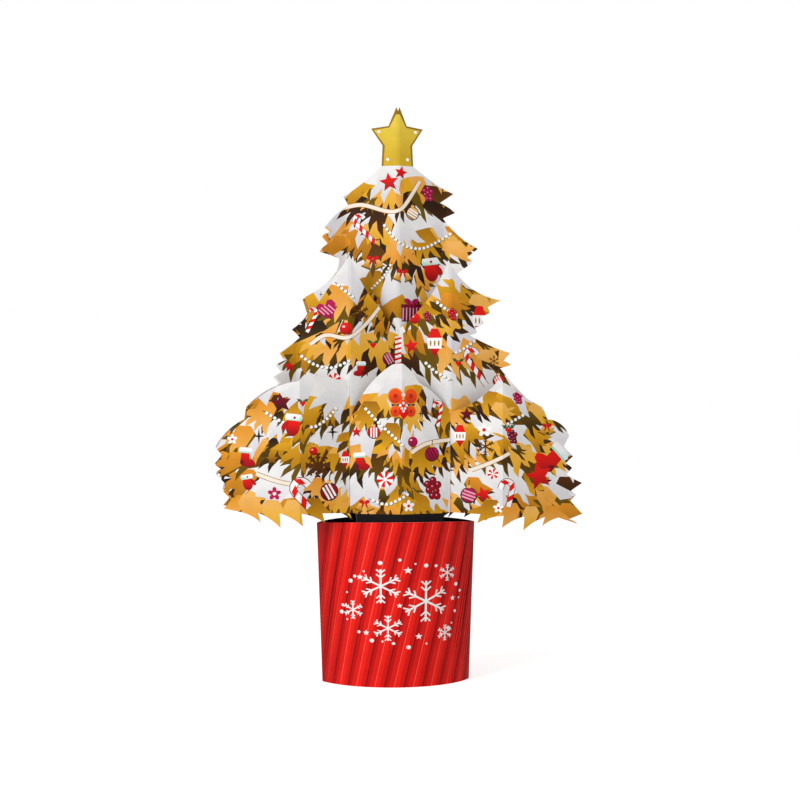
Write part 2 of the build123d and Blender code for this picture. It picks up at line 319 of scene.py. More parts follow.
def bell(d, x, y, size):
    """Two bells under a bow."""
    left = [(-0.62, -0.9), (-0.42, -0.55), (-0.34, 0)]
    outline = left + [(0, 0.25)] + [(-px, py) for px, py in reversed(left)]
    rim = [(-0.6, -0.86), (0.6, -0.86)]
    for side in (-1, 1):
        cx = x + side * size * 0.45
        patch(d, (cx, y, size), outline, GOLD_DEEP, GOLD_PALE, (-1, 0), side * 24)
        d.add(band(placed(rim, cx, y, size, side * 24), size * 0.16), OLIVE)
    bow(d, x, y + size * 0.25, size * 0.62)


def cane(d, x0, y0, x1, y1, width, hook=1):
    """A candy cane from its hook's top to its foot; hook is 1 or -1 for the side it bends to."""
    length = math.hypot(x1 - x0, y1 - y0)
    ux, uy = (x1 - x0) / length, (y1 - y0) / length
    along_x, along_y = ux * width, uy * width
    aside_x, aside_y = hook * uy * width, hook * ux * width
    line = [(x0 + aside_x * 2.4 + along_x * 0.6, y0 - aside_y * 2.4 + along_y * 0.6)]
    cx, cy = x0 + aside_x * 1.2, y0 - aside_y * 1.2
    for k in range(7):
        c, s = math.cos(math.pi * k / 6), math.sin(math.pi * k / 6)
        px, py = cx + aside_x * 1.2 * c - along_x * 1.2 * s, cy - aside_y * 1.2 * c - along_y * 1.2 * s
        line.append((px, py))
    line.append((x1, y1))
    d.add(band(line, width * 1.25), WINE)
    d.add(band(line, width), WHITE)
    marks = walk(line, width * 1.15)
    for (ax, ay), (bx, by) in zip(marks[::2], marks[1::2]):
        dx, dy = bx - ax, by - ay
        apart = math.hypot(dx, dy)
        nx, ny = -dy / apart * width / 2, dx / apart * width / 2
        sx, sy = dx * 0.35, dy * 0.35
        near = [(ax + nx - sx, ay + ny - sy), (bx + nx - sx, by + ny - sy)]
        far = [(bx - nx + sx, by - ny + sy), (ax - nx + sx, ay - ny + sy)]
        d.add(near + far, RED)


def peppermint(d, x, y, size):
    disc(d, x, y, size, WHITE)
    for k in range(6):
        a = 60 * k
        d.add([(x, y)] + arc_points(x, y, size, size, a, a + 30, 3), RED)
    disc(d, x, y, size * 0.25, WHITE, count=7)


def stocking(d, x, y, size, turn=0, toe=1):
    """A stocking with a white cuff at its top; y is the cuff's height."""
    shin = [(-0.5, 0), (-0.55, -1), (-0.6, -1.6), (-0.25, -1.95)]
    foot = [(0.5, -2), (1.15, -1.85), (1.3, -1.45), (0.95, -1.15), (0.55, -1), (0.5, 0)]
    heel = shin[1:] + [(-0.1, -1.35)]
    cuff = [(-0.75, -0.3), (0.75, -0.3), (0.85, 0.05), (0.7, 0.4), (-0.7, 0.4), (-0.85, 0.05)]
    trim = [(-0.75, -0.3), (0.75, -0.3), (0.8, -0.12), (-0.8, -0.12)]
    place = (x, y, size)
    patch(d, place, shin + foot, RED_DEEP, RED, (-2, -0.4), turn, toe)
    patch(d, place, heel, WINE, turn=turn, side=toe)
    patch(d, place, cuff, CUFF_SHADE, WHITE, (-0.3, 0.2), turn)
    patch(d, place, trim, MINT, turn=turn)


def mitten(d, x, y, size, turn=0, thumb=1):
    """A mitten with a pale cuff; thumb is 1 or -1 for its side."""
    palm = arc_points(x, y - size * 1, size * 0.85, size * 1.15, 180, 360, 10)
    outline = [(x - size * 0.75, y)] + palm + [(x + size * 0.75, y)]
    cuff = [(-0.95, -0.25), (0.95, -0.25), (1.05, 0.15), (0.9, 0.55), (-0.9, 0.55), (-1.05, 0.15)]
    span = (y - 2 * size, y - 0.7 * size)
    d.add([turned(p, (x, y), turn) for p in outline], RED_DEEP, RED, span)
    tx, ty = turned((x + thumb * size * 0.95, y - size * 0.95), (x, y), turn)
    oval(d, tx, ty, size * 0.32, size * 0.62, mix(RED, RED_DEEP, 0.5), turn=turn + thumb * 28)
    patch(d, (x, y, size), cuff, MINT, WHITE, (-0.25, 0.15), turn)
    bx, by = turned((x + size * 0.1, y + size * 0.12), (x, y), turn)
    disc(d, bx, by, size * 0.17, MAGENTA, count=7)


def lantern(d, x, y, size):
    """A drop-shaped ornament in red and white."""
    roof = [(-0.75, 0), (-0.35, 1), (0.35, 1), (0.75, 0)]
    glass = [(-0.8, 0), (-0.7, -1.15), (0.7, -1.15), (0.8, 0)]
    foot = [(-0.55, -1.15), (0, -2.1), (0.55, -1.15)]
    knob = [(-0.3, 1), (0, 1.5), (0.3, 1)]
    place = (x, y, size)
    patch(d, place, roof, RED)
    patch(d, place, glass, WHITE)
    patch(d, place, foot, RED_DEEP, RED, (-2, -1))
    for k in (-1, 0, 1):
        oval(d, x + k * size * 0.42, y - size * 0.58, size * 0.09, size * 0.34, GOLD_DEEP, 8)
    patch(d, place, knob, GOLD_PALE)


def gift(d, x, y, size):
    box = [(-1, -1), (1, -0.9), (0.95, 0.5), (-1, 0.45)]
    lid = [(-1.05, 0.35), (1, 0.42), (1, 0.75), (-1.05, 0.68)]
    patch(d, (x, y, size), box, mix(WINE, DARK, 0.4))
    for k in range(6):
        px = x - size * 0.86 + k * size * 0.34
        d.add(band([(px, y - size * 0.88), (px + size * 0.03, y + size * 0.4)], size * 0.14), PINK)
    patch(d, (x, y, size), lid, WINE)
    bow(d, x, y + size * 0.85, size * 0.62, MAGENTA, WINE)


def snowflake(d, x, y, size, ink=BROWN, arms=6, width=0.16):
    for k in range(arms):
        a = 360.0 / arms * k + 90
        tip = turned((x + size, y), (x, y), a)
        d.add(band([(x, y), tip], size * width), ink)
        for share in (0.5, 0.78):
            for lean in (-45, 45):
                c, s = math.cos(math.radians(lean)), math.sin(math.radians(lean))
                twig = [(x + size * share, y), (x + size * share + size * 0.3 * c, y + size * 0.3 * s)]
                d.add(band([turned(p, (x, y), a) for p in twig], size * width * 0.75), ink)


def flower(d, x, y, size, ink=WHITE, core=RED):
    for k in range(5):
        cx, cy = turned((x + size * 0.62, y), (x, y), 72 * k + 90)
        oval(d, cx, cy, size * 0.48, size * 0.34, ink, 9, 72 * k + 90)
    disc(d, x, y, size * 0.3, core, count=7)


def holly(d, x, y, size):
    """Two leaves and three berries."""
    upper = [(0, 0), (0.3, 0.32), (0.55, 0.2), (0.85, 0.4), (1.1, 0.15), (1.6, 0)]
    lower = [(1.1, -0.15), (0.85, -0.38), (0.55, -0.2), (0.3, -0.3)]
    for turn in (30, 150):
        patch(d, (x, y, size), upper + lower, GREEN, turn=turn)
    for dx, dy in ((-0.3, -0.1), (0.3, -0.1), (0, -0.5)):
        disc(d, x + dx * size, y + dy * size, size * 0.34, RED, count=9)


def beads(d, points, size=0.85, pitch=2.35):
    """A string of white beads, each with a dark green edge."""
    line = smooth_line(points)
    d.add(band(line, size * 0.5), OLIVE)
    for x, y in walk(line, pitch):
        disc(d, x + size * 0.25, y - size * 0.25, size * 1.1, BEAD_EDGE, count=8)
        disc(d, x, y, size, WHITE, count=8)


def ribbon(d, points, width=2):
    line = smooth_line(points)
    d.add(band(line, width * 1.3, 0.9), mix(GOLD_DEEP, BROWN, 0.3))
    d.add(band(line, width, 0.9), CREAM)


# The leafy, snowy tiers


TOP = 240.0  # above every sheet

# How far above its leaves' ends each part of a tier starts, where the layer's depth is 1
SHADE_FIELD = 9.5
DARK_ROW = 13.5
GOLD_FIELD = 17.5
TWIG_ROW = 20.0
GOLD_ROW = 21.0
TUFT_ROW = 23.5
SNOW_FIELD = 25.0


def claw(d, x, y, size, lean, rng, inks, leaves=4, spread=36, notch=0.6):
    """A spray of leaves that hangs from a place, lean degrees outward from straight down.

    notch is how far out the leaves part, as a share of their reach."""
    step = 2 * spread / max(1, leaves - 1)
    points = [(x - 0.42 * size, y + 0.05 * size)]
    reaches = [size * rng.uniform(0.78, 1.12) for _ in range(leaves)]
    bulge = notch + (1 - notch) * 0.5
    for k, reach in enumerate(reaches):
        angle = lean - spread + step * (k + rng.uniform(-0.15, 0.15))
        # Round each leaf: from where it parts, along its belly to the tip and back
        for share, turn in ((notch, -0.5), (bulge, -0.32), (1, 0.1), (bulge * 0.95, 0.22)):
            a = math.radians(angle + turn * step)
            points.append((x + reach * share * math.sin(a), y - reach * share * math.cos(a)))
    points.append((x + 0.42 * size, y + 0.05 * size))
    points += [(x + 0.25 * size, y + 0.34 * size), (x - 0.25 * size, y + 0.36 * size)]
    tips, root = inks
    d.add(points, tips, root, (y - size, y + size * 0.35), base=True)


def bough(d, x, y, size, lean, rng):
    """A gold spray over a longer dark one."""
    under = lean + rng.uniform(-8, 8)
    claw(d, x, y - size * 0.1, size * 1.15, under, rng, rng.choice(DARK_SPRAYS), 3, 34, 0.5)
    claw(d, x, y, size, lean, rng, rng.choice(GOLD_SPRAYS), rng.choice((3, 4)), 40)


def field(d, level, reach, ink):
    """All of the sheet above a level."""
    count = int(reach / 2.5)
    xs = [-reach + 2 * reach * k / count for k in range(count + 1)]
    d.add([(x, level(x)) for x in xs] + [(reach, TOP), (-reach, TOP)], ink, base=True)


def places(rng, reach, pitch):
    """Uneven places across the tree, about a pitch apart."""
    x = -reach + rng.uniform(0, pitch)
    while x < reach:
        yield x
        x += pitch * rng.uniform(0.75, 1.25)


def tier(d, rng, crest, depth, centre, outer, half_width, reach, plain):
    """One tier of boughs, from its dark lowest leaves up to its snow.

    centre and outer are the heights of the leaves' ends in the middle and at half_width. Above
    the crest the snow is bare. depth is how deep the leaves of a tier are."""
    phase, ripple = rng.uniform(0, 6.28), rng.uniform(0, 6.28)

    def level(lift):
        def at(x):
            share = abs(x) / half_width
            swing = 2.8 * math.sin(x / 9.5 + phase) + 1.2 * math.sin(x / 4.6 + ripple)
            return centre + (outer - centre) * share + lift * depth + swing

        return at

    def lean(x, jitter):
        """Degrees that leaves at a place hang outward."""
        share = max(-1, min(1, x / half_width))
        return 52.0 * share + 18.0 * math.tanh(x / 6) + rng.uniform(-jitter, jitter)

    shaded = level(DARK_ROW)
    field(d, level(SHADE_FIELD), reach, mix(OLIVE, BROWN, 0.4))
    for x in places(rng, reach, 11.5):
        size = rng.uniform(13.5, 18) * depth
        y, turn = shaded(x) + rng.uniform(0, 2), lean(x, 12)
        claw(d, x, y, size, turn, rng, rng.choice(DARK_SPRAYS), 4, 34, 0.48)
    leafy = level(GOLD_ROW)
    field(d, level(GOLD_FIELD), reach, GOLD)
    for x in places(rng, reach, 15):
        size = rng.uniform(15, 20) * depth
        y, turn = leafy(x) + rng.uniform(0, 4), lean(x, 12)
        claw(d, x, y, size, turn, rng, rng.choice(GOLD_SPRAYS), rng.choice((4, 5)), 42, 0.58)
    if not plain:
        twigs, tufts = level(TWIG_ROW), level(TUFT_ROW)
        for x in places(rng, reach, 30):
            size, turn = rng.uniform(7, 10), lean(x, 16)
            claw(d, x, twigs(x), size, turn, rng, rng.choice(DARK_SPRAYS), 3, 24, 0.4)
        for x in places(rng, reach, 26):
            size = rng.uniform(11, 15) * depth
            y, turn = min(tufts(x), crest - 4), lean(x, 18)
            claw(d, x, y, size, turn, rng, rng.choice(GOLD_SPRAYS), 4, 38, 0.56)
    snowy = level(SNOW_FIELD)
    field(d, snowy, reach, SNOW)
    for x in places(rng, reach, 17):
        size, turn = rng.uniform(11, 17), lean(x, 18)
        claw(d, x, snowy(x) + 4, size, turn, rng, (SNOW_SHADE, SNOW), rng.choice((2, 3)), 32, 0.5)
    if plain:
        return
    for x in places(rng, reach, 30):
        y, size, turn = snowy(x) + rng.uniform(4, 7), rng.uniform(9, 13), lean(x, 14)
        if y + size * 0.4 < crest:
            bough(d, x, y, size, turn, rng)


# Height of the leaves' ends in the middle and at the half width, the half width, how far the
# tier is drawn, and whether it is hidden by the layers in front and is drawn plainly
TIERS = {
    "high": (
        (4, 6, 62, 84, True),
        (34, 34, 62, 80, True),
        (65, 66, 50, 76, True),
        (96, 97, 40, 60, False),
        (127, 131, 32, 52, False),
        (150, 158, 25, 40, False),
    ),
    "middle": (
        (4, 10, 66, 84, True),
        (35, 38, 66, 84, True),
        (69, 76, 60, 80, False),
        (96, 98, 45, 66, False),
    ),
    "low": (
        (-4, -6, 90, 104, False),
        (22, 22, 90, 104, False),
        (47, 44, 90, 104, False),
    ),
}
# How deep the leaves of a layer's tiers are
DEPTHS = {"high": 1.0, "middle": 1.12, "low": 0.86}
# Above these heights a sheet's edge is snow and has no leaves of its own
CRESTS = {"high": 178.0, "middle": 119.0, "low": 63.0}

SHARPEST = math.radians(80)  # a corner of the cut edge under this angle is a leaf's tip
LOWEST_TIP = -9.0
TIER_FOOT = 4.0  # how far a tip may hang below its tier's leaves' ends
DARK_TIPS = 8.0  # below this height in a tier most tips are dark
HEM_SIDE = 48.0  # beyond this place the hem's tips are all gold


def edge_leaves(d, loop, layer, rng):
    """Sprays that fill the points of the sheet's cut edge, dark low in a tier and gold higher up."""
    outers = [outer for _, outer, _, _, _ in TIERS[layer]]
    count = len(loop)
    for k in range(count):
        here = Vector(loop[k])
        before, after = Vector(loop[k - 1]) - here, Vector(loop[(k + 1) % count]) - here
        if before.length < 1e-6 or after.length < 1e-6:
            continue
        hollow = before.x * after.y - before.y * after.x >= 0
        if hollow or before.angle(after) > SHARPEST or not LOWEST_TIP < here.y < CRESTS[layer]:
            continue
        inward = (before.normalized() + after.normalized()).normalized()
        lift = min((here.y - outer for outer in outers if here.y > outer - TIER_FOOT), default=0)
        gold_odds = 0.12 if lift < DARK_TIPS else 0.95
        if here.y < HEM:
            gold_odds = 1.0 if abs(here.x) > HEM_SIDE else 0.45
        sprays = GOLD_SPRAYS if rng.random() < gold_odds else DARK_SPRAYS
        size = rng.uniform(10, 14) if here.y > HEM else rng.uniform(9, 12)
        root = here + inward * size * 0.94
        outward = math.degrees(math.atan2(-inward.x, inward.y))
        claw(d, root.x, root.y, size * 1.1, outward, rng, rng.choice(sprays), 3, 30)


def sheet_drawing(layer, seed):
    """The tiers of one sheet, from the lowest up."""
    d = Drawing()
    rng = random.Random(seed)
    for centre, outer, half, reach, plain in TIERS[layer]:
        tier(d, rng, CRESTS[layer], DEPTHS[layer], centre, outer, half, reach, plain)
    return d


# The star inside its darker edge, above the rim
STAR_RIGHT = [(7.4, STAR_FOOT), (6.7, 196.6), (12.2, 204.9), (4.4, 206.0), (0.9, 212.8)]
STAR_INNER = [(0.0, 212.6)] + [(-x, y) for x, y in reversed(STAR_RIGHT)] + STAR_RIGHT


def star_print(d):
    """The gold star at the top of the tree, with a darker edge."""
    d.add([(-20, STAR_FOOT), (20, STAR_FOOT), (20, TOP), (-20, TOP)], STAR_EDGE, base=True)
    d.add(STAR_INNER, STAR_GOLD, STAR_PALE, (STAR_FOOT, 213.0), base=True)


def high_ornaments(d):
    star(d, -4.5, 177.5, 5.2, turn=8)
    star(d, 1.6, 182.4, 3.7, turn=-12)
    ribbon(d, [(-27.5, 164.6), (-18.3, 166), (-6.6, 162.6), (-1, 162.4), (3.8, 165.6), (12, 178.5)])
    berries(d, 16.5, 172.2, 2.6)
    bauble(d, 8, 161.4, 3.2, GOLD_PALE, WHITE, 60)
    beads(d, [(-8.1, 156.9), (-3, 149.5), (3.3, 144.6), (12.1, 143.2), (19.8, 146.1), (29.5, 152)])
    cane(d, -21.5, 156.5, -11.5, 146, 2, hook=-1)
    bell(d, -12.7, 136.5, 4.4)
    bell(d, 2.6, 129.6, 4.1)
    mitten(d, 17.8, 136, 4.6, turn=8, thumb=1)
    beads(d, [(-3, 135.9), (-7.1, 128.7), (-14.5, 121)], 0.7, 1.9)
    gift(d, 7.4, 110.2, 5.4)
    ribbon(d, [(-9.8, 114), (-13.2, 106.8), (-21.8, 99.8)], 1.9)
    star(d, -11.1, 102.5, 4.4, turn=20)
    sparkle(d, -18, 172.5, 1.6, GOLD_DEEP)
    sparkle(d, 24.5, 141, 1.6, OLIVE)


def middle_left_ornaments(d):
    beads(d, [(-33.4, 124.6), (-28.4, 120), (-23.5, 116.6)])
    heart(d, -37.4, 110.6, 5.2, turn=24)
    snowflake(d, -20.5, 109, 4.6, BROWN)
    plain_ball(d, -27.9, 100.6, 3.2)
    ribbon(d, [(-46, 92.6), (-38, 97.4), (-27, 96), (-18, 102.5), (-10, 112)], 1.9)
    bauble(d, -4.9, 85.5, 3.2, RED_DEEP, PINK)
    beads(d, [(-52, 88), (-44, 82.4), (-35, 80.6), (-26.5, 84)])
    cane(d, -43, 108, -47.5, 99, 1.7)
    peppermint(d, -33.9, 74.5, 3.4)
    bauble(d, -43, 69.4, 3.7)
    holly(d, -13.5, 93, 2.6)
    sparkle(d, -40.5, 118.4, 1.8)
    stocking(d, -20, 82.6, 3.2, toe=-1)
    star(d, -56.5, 81.2, 3.2)


def middle_right_ornaments(d):
    beads(d, [(18, 116), (24.6, 110.6), (30, 108)])
    berries(d, 27.4, 108.4, 2.1, RED)
    lantern(d, 42.4, 108.2, 4.9)
    lantern(d, 18.4, 96.2, 4.8)
    cane(d, 35.6, 85.4, 46.4, 71.6, 2.5, hook=-1)
    holly(d, 30.6, 83.6, 2.6)
    beads(d, [(12.4, 84.8), (19.1, 78.5), (27.5, 74)])
    beads(d, [(27.2, 87.8), (32.7, 90), (40.6, 95.4)])
    plain_ball(d, 8.4, 106.4, 2.9)
    star(d, 6.6, 92, 4.1, turn=10)
    snowflake(d, 50.6, 84.4, 2.8, OLIVE)
    berries(d, 14.6, 107.4, 1.7, RED_DEEP)
    bauble(d, 53, 74, 2.9, RED, WHITE)


def seam_candy_stripe(d):
    """The narrow red and white stripe down the middle seam of the middle layer."""
    d.add([(-1.6, 76), (1.6, 76), (1.6, 97), (-1.6, 97)], WHITE)
    for k in range(8):
        y = 76.6 + 2.6 * k
        d.add([(-1.6, y), (1.6, y + 0.9), (1.6, y + 2.1), (-1.6, y + 1.2)], RED)


def low_centre_ornaments(d):
    rosette(d, 0.8, 63.6, 5.6)
    beads(d, [(-19.5, 61.2), (-13.9, 54.8), (-8.9, 49.7), (-4.5, 45.6), (1.1, 40.4)])
    bauble(d, -14, 47.4, 3, RED, WHITE, 0)
    stocking(d, -21.2, 35.6, 3.8, turn=4)
    peppermint(d, -8.4, 23.4, 4.1)
    plain_ball(d, 5.8, 42.6, 2.7, MAGENTA)
    ribbon(d, [(5, 37), (13.5, 41.6), (27, 43.6)])
    bauble(d, 16.2, 36.2, 3.5, MAGENTA, WINE)
    berries(d, 16.7, 18.4, 3.9, RED_DEEP)
    beads(d, [(-16.5, 13.5), (-8, 10.6), (-1, 13.4), (4, 16.4)])
    bell(d, -18.6, 10.4, 3.7)
    sparkle(d, -17.6, 76, 1.6)
    sparkle(d, 10, 57, 2.2)
    cane(d, 21.4, 60.4, 19.4, 50.4, 1.7)
    flower(d, 3.6, 9.8, 2.9)
    star(d, -22.6, 47.6, 2.9)


def low_left_ornaments(d):
    star(d, -61.3, 62.4, 5.4, WINE, DARK, 10)
    beads(d, [(-70.6, 58.6), (-64.6, 54.8), (-58, 51.4)])
    beads(d, [(-48.5, 50.4), (-43.8, 50.6), (-37.5, 54.8), (-32.6, 60.4)])
    mitten(d, -55.2, 54.6, 4.2, turn=-6, thumb=-1)
    sparkle(d, -72.6, 45.6, 4.4)
    sparkle(d, -35, 47.6, 4.6)
    stocking(d, -79.2, 38.2, 4.1, turn=-4)
    mitten(d, -78.6, 24.4, 3, turn=10)
    ribbon(d, [(-74, 26.4), (-63, 22.6), (-52, 20.6)])
    flower(d, -64.8, 16.4, 3.2, MAGENTA, CREAM)
    cane(d, -54.4, 16.6, -47.4, 9.4, 3.2, hook=-1)
    snowflake(d, -42.8, 30.8, 6.2, BROWN, 8, 0.2)
    bauble(d, -36.8, 17.2, 4.3, RED_DEEP, WHITE)
    holly(d, -50.6, 62.8, 2.4)
    plain_ball(d, -45, 38, 2.2)
    lantern(d, -28.4, 35, 2.8)
    flower(d, -86, 44, 2.4)
    star(d, -66, 34, 3.2, GOLD_DEEP, BROWN)


def low_right_ornaments(d):
    lantern(d, 31, 47.4, 3.7)
    snowflake(d, 43.6, 40, 4.4, BROWN)
    ribbon(d, [(36.8, 28), (46, 31.6), (56, 36.6)])
    holly(d, 55.4, 49, 2.9)
    berries(d, 57.6, 45, 2.4, WINE)
    beads(d, [(53, 50.6), (58, 53.2), (64, 56.4)])
    stocking(d, 84.4, 37, 6.8, turn=-46, toe=-1)
    star(d, 72.6, 24.6, 7.8, turn=14)
    cane(d, 57.6, 18.4, 55.4, 9, 2.6)
    bauble(d, 35.4, 14.8, 3.8, MAGENTA, PINK, 70)
    star(d, 42.6, 15.4, 4.4, turn=20)
    flower(d, 43, 48.6, 3.4)
    star(d, 34.4, 56.6, 3.7, WINE, DARK)
    berries(d, 60.6, 65.2, 2.3)
    peppermint(d, 47.4, 26, 2.7)
    bell(d, 77, 49.4, 3.7)
    flower(d, 50, 8.4, 2.4)


# Folded sheets

PRINT, EDGE, INSIDE = 0, 1, 2  # the material slots of a piece


def faces_towards(mesh, sign):
    """The triangles of a folded sheet that look outward on one side."""
    mesh.calc_loop_triangles()
    return [t for t in mesh.loop_triangles if t.normal.y * sign > 0.5]


def profile_of(mesh, triangles):
    """Where the sheet runs, seen from above: (x, y) at its folds, in millimetres."""
    depths = {}
    for t in triangles:
        for v in t.vertices:
            co = mesh.vertices[v].co
            depths[round(co.x / MM, 2)] = co.y / MM
    line = sorted(depths.items())
    keep = [line[0]]
    for k in range(1, len(line) - 1):
        (x0, y0), (x1, y1), (x2, y2) = keep[-1], line[k], line[k + 1]
        slope_a = (y1 - y0) / max(x1 - x0, 1e-6)
        slope_b = (y2 - y1) / max(x2 - x1, 1e-6)
        if abs(slope_a - slope_b) > 0.06 and x1 - x0 > 0.3:
            keep.append((x1, y1))
    keep.append(line[-1])
    return keep


def depth_at(profile, x):
    """Y of the sheet at a place across the tree."""
    for (x0, y0), (x1, y1) in zip(profile, profile[1:]):
        if x <= x1:
            return y0 + (y1 - y0) * (x - x0) / (x1 - x0)
    (x0, y0), (x1, y1) = profile[-2:]
    return y1 + (y1 - y0) * (x - x1) / (x1 - x0)


def loops_of(mesh, triangles):
    """The cut edges of the sheet as closed loops in the front view, the outer one first."""
    uses = {}

    def place(v):
        co = mesh.vertices[v].co
        return (round(co.x / MM, 2), round(co.z / MM - RIM, 2))

    for t in triangles:
        corners = [place(v) for v in t.vertices]
        for a, b in zip(corners, corners[1:] + corners[:1]):
            if a != b:
                pair = (min(a, b), max(a, b))
                uses[pair] = uses.get(pair, 0) + 1
    links = {}
    for (a, b), n in uses.items():
        if n == 1:
            links.setdefault(a, []).append(b)
            links.setdefault(b, []).append(a)
    loops = []
    left = set(links)
    while left:
        here = min(left)
        loop = []
        while here is not None:
            loop.append(here)
            left.discard(here)
            here = next((p for p in links[here] if p in left), None)
        if len(loop) > 2:
            loops.append(loop)

    def area(loop):
        return sum(a[0] * b[1] - b[0] * a[1] for a, b in zip(loop, loop[1:] + loop[:1])) / 2

    loops = [loop if area(loop) > 0 else loop[::-1] for loop in loops]
    loops.sort(key=lambda loop: -abs(area(loop)))
    return loops


GRID = 6.0  # spacing of the points that carry the ink's shading


def within(loop, x, y):
    """Which of the places (x, y) a closed shape winds round."""
    corners = np.array([tuple(p) for p in loop])
    x0, y0 = corners[:, :1], corners[:, 1:]
    x1, y1 = np.roll(x0, -1, axis=0), np.roll(y0, -1, axis=0)
    side = (x1 - x0) * (y - y0) - (x - x0) * (y1 - y0)
    rising = (y0 <= y) & (y1 > y) & (side > 0)
    falling = (y0 > y) & (y1 <= y) & (side < 0)
    return rising.sum(axis=0) != falling.sum(axis=0)


def cut_up(loops, lines, spots):
    """Triangles that follow every loop and line, with the middle of each."""
    points, edges = [Vector(p) for p in spots], []
    for loop in loops:
        start = len(points)
        points.extend(Vector(p) for p in loop)
        edges += [(start + k, start + (k + 1) % len(loop)) for k in range(len(loop))]
    for line in lines:
        edges.append((len(points), len(points) + 1))
        points.extend(Vector(p) for p in line)
    verts, _, tris, _, _, _ = delaunay_2d_cdt(points, edges, [], 0, 1e-3, False)
    corners = np.array([tuple(v) for v in verts])
    middles = corners[np.array(tris)].mean(axis=1)
    return verts, tris, middles[:, 0], middles[:, 1]


def extent(points):
    """The box of a flat shape: least x, greatest x, least y, greatest y."""
    xs, ys = [p[0] for p in points], [p[1] for p in points]
    return min(xs), max(xs), min(ys), max(ys)


def painted(shapes, x, y):
    """The topmost shape at each place, and the topmost one that is part of the leafy ground."""
    top, ground = np.full(len(x), -1), np.full(len(x), -1)
    for k, (points, _, _, _, base) in enumerate(shapes):
        x0, x1, y0, y1 = extent(points)
        near = np.flatnonzero((x > x0) & (x < x1) & (y > y0) & (y < y1))
        hit = near[within(points, x[near], y[near])] if len(near) else near
        top[hit] = k
        if base:
            ground[hit] = k
    return top, ground


def ink_at(shape, place):
    """The colour of a painted shape at a place on the sheet."""
    _, ink, far, span, _ = shape
    if far is None:
        return ink
    return mix(ink, far, (place.y - span[0]) / (span[1] - span[0]))


def add_object(name, data):
    """A new object of the scene."""
    made = bpy.data.objects.new(name, data)
    bpy.context.scene.collection.objects.link(made)
    return made


def add_piece(name, mesh_name, vertices, faces, inks, slots, materials):
    """A mesh with its inks and materials, as a new piece of the scene."""
    mesh = bpy.data.meshes.new(mesh_name)
    mesh.from_pydata(vertices, [], faces)
    layer = mesh.color_attributes.new("ink", "FLOAT_COLOR", "CORNER")
    layer.data.foreach_set("color", [value for ink in inks for value in linear(ink)])
    mesh.polygons.foreach_set("material_index", slots)
    mesh.update()
    for entry in materials:
        mesh.materials.append(entry)
    return add_object(name, mesh)


def printed_sheet(node, layer, drawing, tops, seed):
    """A folded, printed sheet in the place of a CAD node."""
    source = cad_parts[node].data
    outward = -1 if node.startswith("front") else 1
    outer = faces_towards(source, outward)
    inner = faces_towards(source, -outward)
    outer_line, inner_line = profile_of(source, outer), profile_of(source, inner)
    loops = loops_of(source, outer)
    x0, x1, z0, z1 = extent(loops[0])

    edge_leaves(drawing, loops[0], layer, random.Random(seed))
    kept = []
    for shape in drawing.shapes + tops.shapes:
        left, right, low, high = extent(shape[0])
        if right > x0 and left < x1 and high > z0 and low < z1:
            kept.append(shape)
    folds = [((x, z0 - 1), (x, z1 + 1)) for x, _ in outer_line[1:-1]]
    # The points stand off the shapes' own lines
    spots = [
        (x0 + (i + 0.37) * GRID, z0 + (j + 0.41) * GRID)
        for i in range(int((x1 - x0) / GRID) + 1)
        for j in range(int((z1 - z0) / GRID) + 1)
    ]
    verts, tris, x, y = cut_up(loops + [shape[0] for shape in kept], folds, spots)
    solid = within(loops[0], x, y)
    for hole in loops[1:]:
        solid &= ~within(hole, x, y)
    top, ground = painted(kept, x, y)

    chosen = np.flatnonzero(solid)
    used = sorted({v for k in chosen for v in tris[k]})
    number = {v: k for k, v in enumerate(used)}

    def bent(line):
        return [(verts[v].x * MM, depth_at(line, verts[v].x) * MM, (verts[v].y + RIM) * MM) for v in used]

    shift = len(used)
    polygons, colours, slots = [], [], []
    border = {}
    for k in chosen:
        a, b, c = tris[k]
        for p, q in ((a, b), (b, c), (c, a)):
            if border.pop((q, p), None) is None:
                border[(p, q)] = True
        shown = (a, b, c) if outward < 0 else (a, c, b)
        hidden = (shown[0], shown[2], shown[1])
        for face, drawn, first in ((shown, top, 0), (hidden, ground, shift)):
            polygons.append([number[v] + first for v in face])
            colours.extend(ink_at(kept[drawn[k]], verts[v]) for v in face)
            slots.append(PRINT)
    for edge in border:
        p, q = (number[v] for v in (edge if outward < 0 else edge[::-1]))
        polygons.append((q, p, p + shift, q + shift))
        colours.extend([CARD_BACK] * 4)
        slots.append(EDGE)
    sides = bent(outer_line) + bent(inner_line)
    name = node + "_sheet"
    piece = add_piece(name, name, sides, polygons, colours, slots, (CARD, CUT_EDGE))
    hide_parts(node)
    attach(piece, "root")


# Materials

TOOTH = {"Scale": 900.0, "Detail": 4.0}  # the card's fibres
TOOTH_BUMP = {"Strength": 0.08, "Distance": 0.0002}
PATCH_DETAIL = 5.0
PATCH_CONTRAST = {"From Min": 0.3, "From Max": 0.7}


def material(name, roughness):
    """A new material, its nodes and its main shader."""
    made = bpy.data.materials.new(name)
    made.use_nodes = True
    shader = made.node_tree.nodes["Principled BSDF"]
    shader.inputs["Roughness"].default_value = roughness
    shader.inputs["Specular IOR Level"].default_value = 0.1
    return made, made.node_tree, shader


def new_node(tree, kind, inputs):
    """A node of a kind, with its inputs set or, where an output is given for one, linked to it."""
    node = tree.nodes.new(kind)
    for name, value in inputs.items():
        if isinstance(value, bpy.types.NodeSocket):
            tree.links.new(value, node.inputs[name])
        else:
            node.inputs[name].default_value = value
    return node


